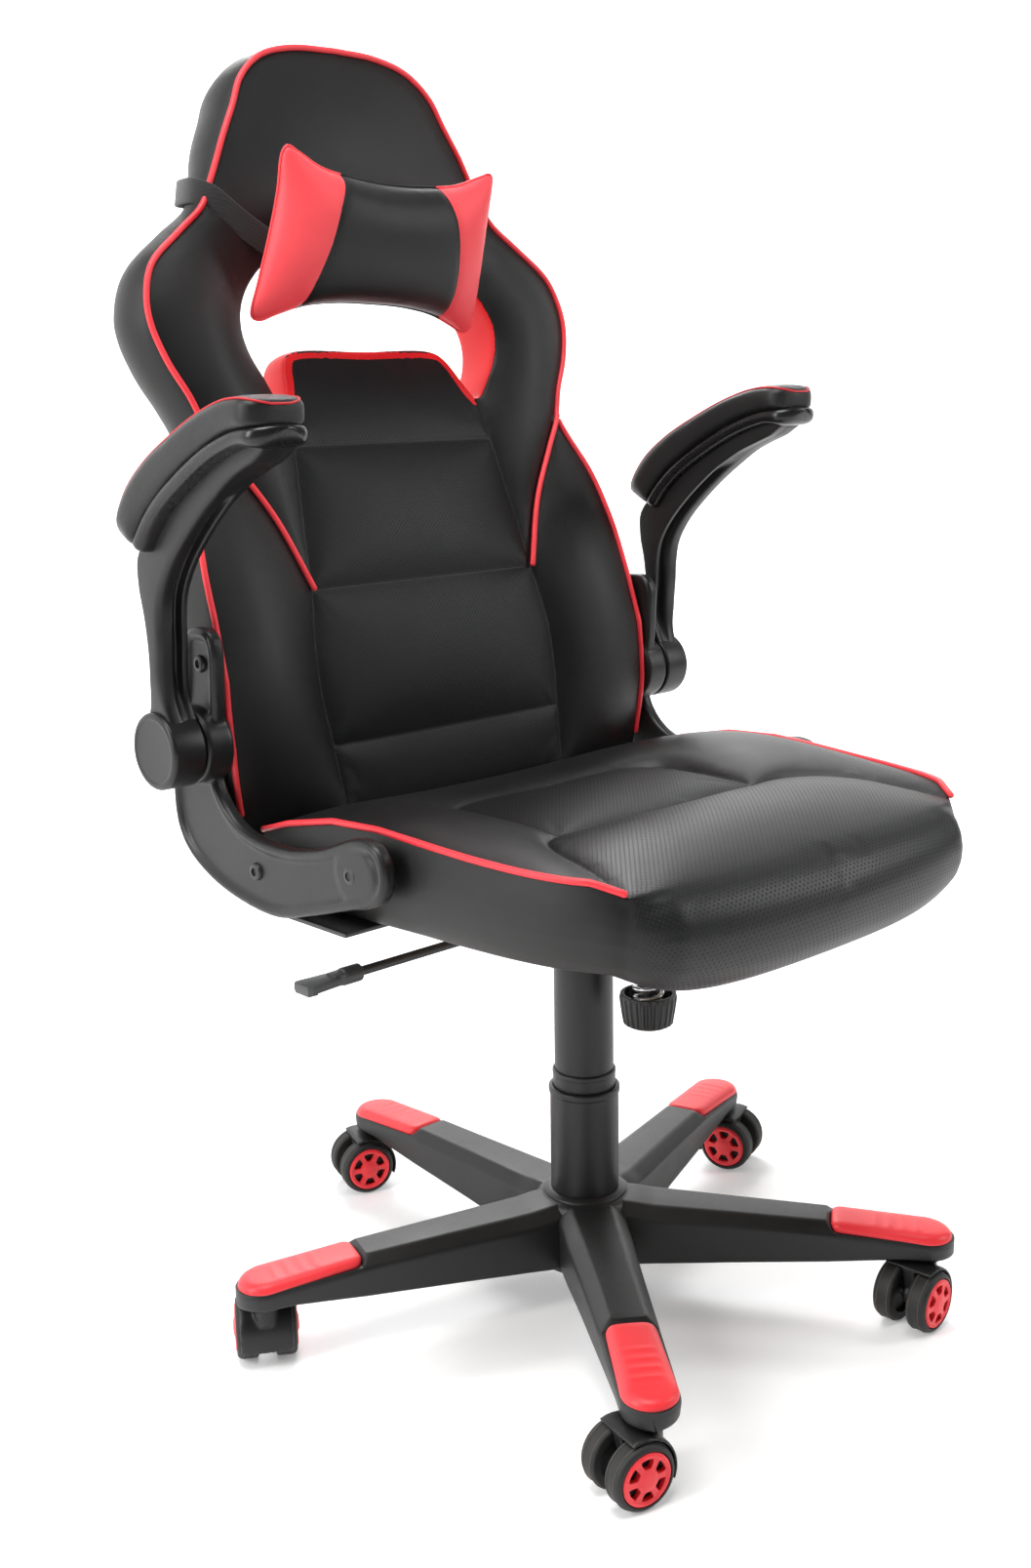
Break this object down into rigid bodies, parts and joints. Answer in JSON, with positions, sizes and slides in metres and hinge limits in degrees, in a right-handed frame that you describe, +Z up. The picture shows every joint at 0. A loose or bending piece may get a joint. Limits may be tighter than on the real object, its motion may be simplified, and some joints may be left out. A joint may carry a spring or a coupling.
{
  "type": "gaming chair",
  "caption": "Racing-style swivel chair on a star base with casters: gas lift, tilt mechanism, high backrest with a window, flip-up curved arms and a strapped bow-shaped head pillow.",
  "frame": {"origin": "on the floor, under the middle of the chair's overall box; the gas lift's axis stands 43 mm in front of it", "axes": "+Z up, the sitter faces -Y and has +X on the left hand; every joint is at rest: arms down, seat upright, arm caps in a fixed star"},
  "size_m": [0.6616, 0.6723, 1.1175],
  "materials": {
    "base_nylon": "satin",
    "caster_nylon": "satin",
    "black_nylon": "satin",
    "grey_plastic": "satin",
    "red_plastic": "satin",
    "wheel_tread": "matte",
    "bright_steel": "satin",
    "black_steel": "satin",
    "plywood": "matte",
    "black_upholstery": "satin",
    "pad_upholstery": "satin",
    "red_upholstery": "satin",
    "webbing": "matte"
  },
  "bodies": {
    "base": {"star_base": "base_nylon", "column_outer_tube": "black_steel", "cover_lower": "base_nylon", "arm_cap_1": "red_plastic", "arm_cap_2": "red_plastic", "arm_cap_3": "red_plastic", "arm_cap_4": "red_plastic", "arm_cap_5": "red_plastic"},
    "lift_rod": {"piston_rod": "bright_steel"},
    "seat_column": {"gas_cylinder": "black_steel", "tilt_housing": "black_steel", "tilt_pin": "bright_steel", "cover_upper": "base_nylon", "tension_spring": "bright_steel"},
    "release_button": {"release_button": "bright_steel"},
    "cover_middle": {"cover_middle": "base_nylon"},
    "seat_frame": {"seat_plate": "black_steel", "seat_board": "plywood", "seat_cushion": "black_upholstery", "back_board": "plywood", "back_cushion": "black_upholstery", "head_pillow": "red_upholstery", "pillow_strap": "webbing", "side_bracket_left": "black_nylon", "side_bracket_right": "black_nylon", "arm_pivot_pin_left": "bright_steel", "arm_pivot_pin_right": "bright_steel"},
    "tension_knob": {"tension_knob": "black_nylon"},
    "lever_bush": {"lever_bush": "black_nylon"},
    "lever": {"lever_rod": "black_steel", "lever_handle": "grey_plastic"},
    "arm_left": {"arm_post_left": "black_nylon", "arm_pad_left": "pad_upholstery"},
    "arm_right": {"arm_post_right": "black_nylon", "arm_pad_right": "pad_upholstery"},
    "caster_1": {"caster_body_1": "caster_nylon", "caster_stem_1": "bright_steel", "caster_axle_1": "bright_steel"},
    "wheel_1_right": {"wheel_1_right": "wheel_tread"},
    "wheel_1_left": {"wheel_1_left": "wheel_tread"},
    "caster_2": {"caster_body_2": "caster_nylon", "caster_stem_2": "bright_steel", "caster_axle_2": "bright_steel"},
    "wheel_2_right": {"wheel_2_right": "wheel_tread"},
    "wheel_2_left": {"wheel_2_left": "wheel_tread"},
    "caster_3": {"caster_body_3": "caster_nylon", "caster_stem_3": "bright_steel", "caster_axle_3": "bright_steel"},
    "wheel_3_right": {"wheel_3_right": "wheel_tread"},
    "wheel_3_left": {"wheel_3_left": "wheel_tread"},
    "caster_4": {"caster_body_4": "caster_nylon", "caster_stem_4": "bright_steel", "caster_axle_4": "bright_steel"},
    "wheel_4_right": {"wheel_4_right": "wheel_tread"},
    "wheel_4_left": {"wheel_4_left": "wheel_tread"},
    "caster_5": {"caster_body_5": "caster_nylon", "caster_stem_5": "bright_steel", "caster_axle_5": "bright_steel"},
    "wheel_5_right": {"wheel_5_right": "wheel_tread"},
    "wheel_5_left": {"wheel_5_left": "wheel_tread"}
  },
  "joints": [
    {"name": "seat_swivel", "type": "hinge", "parent": "base", "child": "lift_rod", "pos_m": [0, -0.043, 0.085], "axis": [0, 0, 1], "continuous": true},
    {"name": "gas_lift", "type": "slide", "parent": "lift_rod", "child": "seat_column", "axis": [0, 0, 1], "range_m": [-0.06, 0.04]},
    {"name": "cover_stage", "type": "slide", "parent": "base", "child": "cover_middle", "axis": [0, 0, 1], "range_m": [-0.03, 0.02]},
    {"name": "seat_tilt", "type": "hinge", "parent": "seat_column", "child": "seat_frame", "pos_m": [0, -0.033, 0.385], "axis": [-1, 0, 0], "range_deg": [0, 12], "stiffness_Nm_per_rad": 120, "springref_deg": -20.05, "deforming": ["tension_spring"]},
    {"name": "tension_knob_turn", "type": "hinge", "parent": "seat_frame", "child": "tension_knob", "pos_m": [0, -0.121, 0.285], "axis": [0, 0, 1], "range_deg": [-720, 720]},
    {"name": "tilt_lock_pull", "type": "slide", "parent": "seat_column", "child": "lever_bush", "axis": [-1, 0, 0], "range_m": [0, 0.018]},
    {"name": "lever_lift", "type": "hinge", "parent": "lever_bush", "child": "lever", "pos_m": [-0.032, -0.023, 0.3603], "axis": [0, 1, 0], "range_deg": [0, 5], "stiffness_Nm_per_rad": 2, "springref_deg": -17.19},
    {"name": "button_press", "type": "slide", "parent": "seat_column", "child": "release_button", "axis": [0, 0, -1], "range_m": [0, 0.0042]},
    {"name": "arm_flip_left", "type": "hinge", "parent": "seat_frame", "child": "arm_left", "pos_m": [0.284, 0.14, 0.529], "axis": [-1, 0, 0], "range_deg": [0, 90]},
    {"name": "arm_flip_right", "type": "hinge", "parent": "seat_frame", "child": "arm_right", "pos_m": [-0.284, 0.14, 0.529], "axis": [-1, 0, 0], "range_deg": [0, 90]},
    {"name": "caster_swivel_1", "type": "hinge", "parent": "base", "child": "caster_1", "pos_m": [0.0032, 0.26298, 0.055], "axis": [0, 0, 1], "continuous": true},
    {"name": "wheel_spin_1_right", "type": "hinge", "parent": "caster_1", "child": "wheel_1_right", "pos_m": [-0.01559, 0.26982, 0.027], "axis": [-0.342, -0.9397, 0], "continuous": true},
    {"name": "wheel_spin_1_left", "type": "hinge", "parent": "caster_1", "child": "wheel_1_left", "pos_m": [-0.01559, 0.26982, 0.027], "axis": [-0.342, -0.9397, 0], "continuous": true},
    {"name": "caster_swivel_2", "type": "hinge", "parent": "base", "child": "caster_2", "pos_m": [-0.29002, 0.0546, 0.055], "axis": [0, 0, 1], "continuous": true},
    {"name": "wheel_spin_2_right", "type": "hinge", "parent": "caster_2", "child": "wheel_2_right", "pos_m": [-0.27895, 0.07126, 0.027], "axis": [-0.8329, 0.5534, 0], "continuous": true},
    {"name": "wheel_spin_2_left", "type": "hinge", "parent": "caster_2", "child": "wheel_2_left", "pos_m": [-0.27895, 0.07126, 0.027], "axis": [-0.8329, 0.5534, 0], "continuous": true},
    {"name": "caster_swivel_3", "type": "hinge", "parent": "base", "child": "caster_3", "pos_m": [-0.18244, -0.28866, 0.055], "axis": [0, 0, 1], "continuous": true},
    {"name": "wheel_spin_3_right", "type": "hinge", "parent": "caster_3", "child": "wheel_3_right", "pos_m": [-0.20201, -0.2845, 0.027], "axis": [-0.2079, -0.9781, 0], "continuous": true},
    {"name": "wheel_spin_3_left", "type": "hinge", "parent": "caster_3", "child": "wheel_3_left", "pos_m": [-0.20201, -0.2845, 0.027], "axis": [-0.2079, -0.9781, 0], "continuous": true},
    {"name": "caster_swivel_4", "type": "hinge", "parent": "base", "child": "caster_4", "pos_m": [0.17726, -0.29243, 0.055], "axis": [0, 0, 1], "continuous": true},
    {"name": "wheel_spin_4_right", "type": "hinge", "parent": "caster_4", "child": "wheel_4_right", "pos_m": [0.15731, -0.29382, 0.027], "axis": [0.0698, -0.9976, 0], "continuous": true},
    {"name": "wheel_spin_4_left", "type": "hinge", "parent": "caster_4", "child": "wheel_4_left", "pos_m": [0.15731, -0.29382, 0.027], "axis": [0.0698, -0.9976, 0], "continuous": true},
    {"name": "caster_swivel_5", "type": "hinge", "parent": "base", "child": "caster_5", "pos_m": [0.292, 0.04851, 0.055], "axis": [0, 0, 1], "continuous": true},
    {"name": "wheel_spin_5_right", "type": "hinge", "parent": "caster_5", "child": "wheel_5_right", "pos_m": [0.29884, 0.02971, 0.027], "axis": [0.9397, 0.342, 0], "continuous": true},
    {"name": "wheel_spin_5_left", "type": "hinge", "parent": "caster_5", "child": "wheel_5_left", "pos_m": [0.29884, 0.02971, 0.027], "axis": [0.9397, 0.342, 0], "continuous": true}
  ],
  "couplings": [
    {"joint": "cover_stage", "follows": "gas_lift", "ratio": 0.5},
    {"joint": "button_press", "follows": "lever_lift", "m_per_rad": 0.048}
  ]
}
